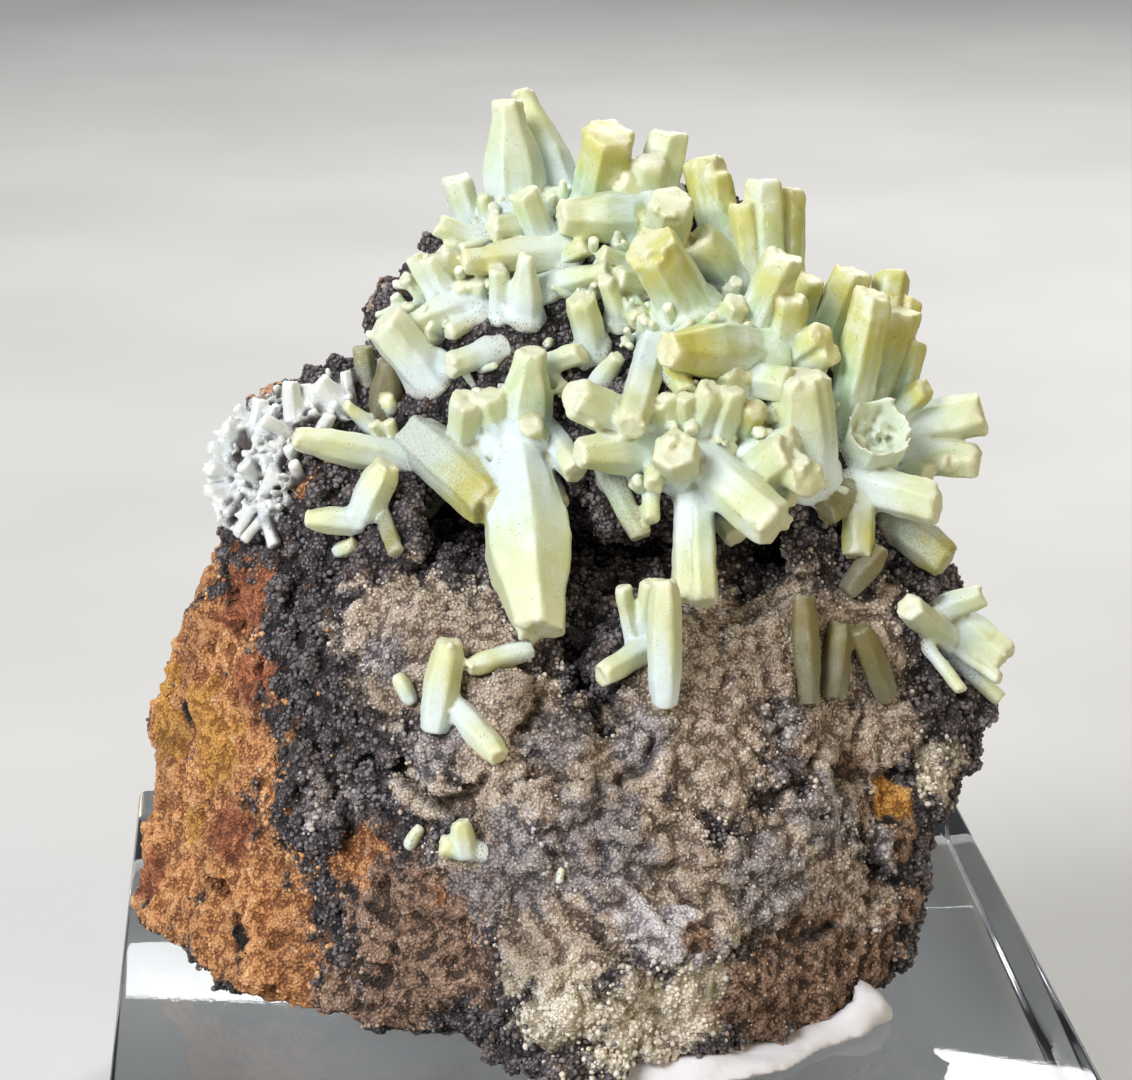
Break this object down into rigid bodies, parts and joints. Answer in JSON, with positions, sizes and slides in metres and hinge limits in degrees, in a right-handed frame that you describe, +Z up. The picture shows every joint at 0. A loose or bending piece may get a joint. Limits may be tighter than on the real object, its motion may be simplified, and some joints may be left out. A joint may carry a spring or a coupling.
{
  "type": "mineral specimen on a display block",
  "caption": "Blunt green hexagonal crystals sprayed over a brown limonite matrix, set with putty on a square clear display block.",
  "frame": {"origin": "centre of the display block's underside", "axes": "+Z up, -Y towards the viewer, +X to the viewer's right, square to the block's sides"},
  "size_m": [0.0382, 0.0382, 0.0474],
  "materials": {
    "matrix_stone": "rough drusy limonite",
    "clear_acrylic": "polished clear",
    "white_putty": "matt",
    "plumbogummite": "satin porcelain-like crystal",
    "white_druse": "frosted white crystal"
  },
  "bodies": {
    "root": {"centre_spray_crystals_1": "plumbogummite", "centre_spray_crystals_2": "plumbogummite", "centre_spray_crystals_3": "plumbogummite", "crown_crystals_1": "plumbogummite", "crown_crystals_2": "plumbogummite", "display_base": "clear_acrylic", "east_spray_crystals_1": "plumbogummite", "left_shoulder_crystals_1": "plumbogummite", "left_shoulder_crystals_2": "plumbogummite", "left_shoulder_crystals_3": "plumbogummite", "left_shoulder_crystals_4": "plumbogummite", "left_shoulder_crystals_5": "plumbogummite", "lower_left_crystals_1": "plumbogummite", "lower_left_crystals_2": "plumbogummite", "lower_left_crystals_3": "plumbogummite", "lower_left_crystals_4": "plumbogummite", "lower_left_crystals_5": "plumbogummite", "lower_left_crystals_6": "plumbogummite", "lower_middle_crystals_1": "plumbogummite", "lower_middle_crystals_2": "plumbogummite", "matrix_rock": "matrix_stone", "putty": "white_putty", "right_edge_crystals_1": "plumbogummite", "right_trio_crystals_1": "plumbogummite", "right_trio_crystals_2": "plumbogummite", "right_trio_crystals_3": "plumbogummite", "single_crystals_1": "plumbogummite", "single_crystals_2": "plumbogummite", "summit_crystals_1": "plumbogummite", "upper_left_crystals_1": "plumbogummite", "west_spray_crystals_1": "plumbogummite", "west_spray_crystals_2": "plumbogummite", "white_druse_1": "white_druse", "white_druse_2": "white_druse", "white_druse_3": "white_druse", "white_druse_4": "white_druse", "white_druse_5": "white_druse"}
  },
  "joints": []
}
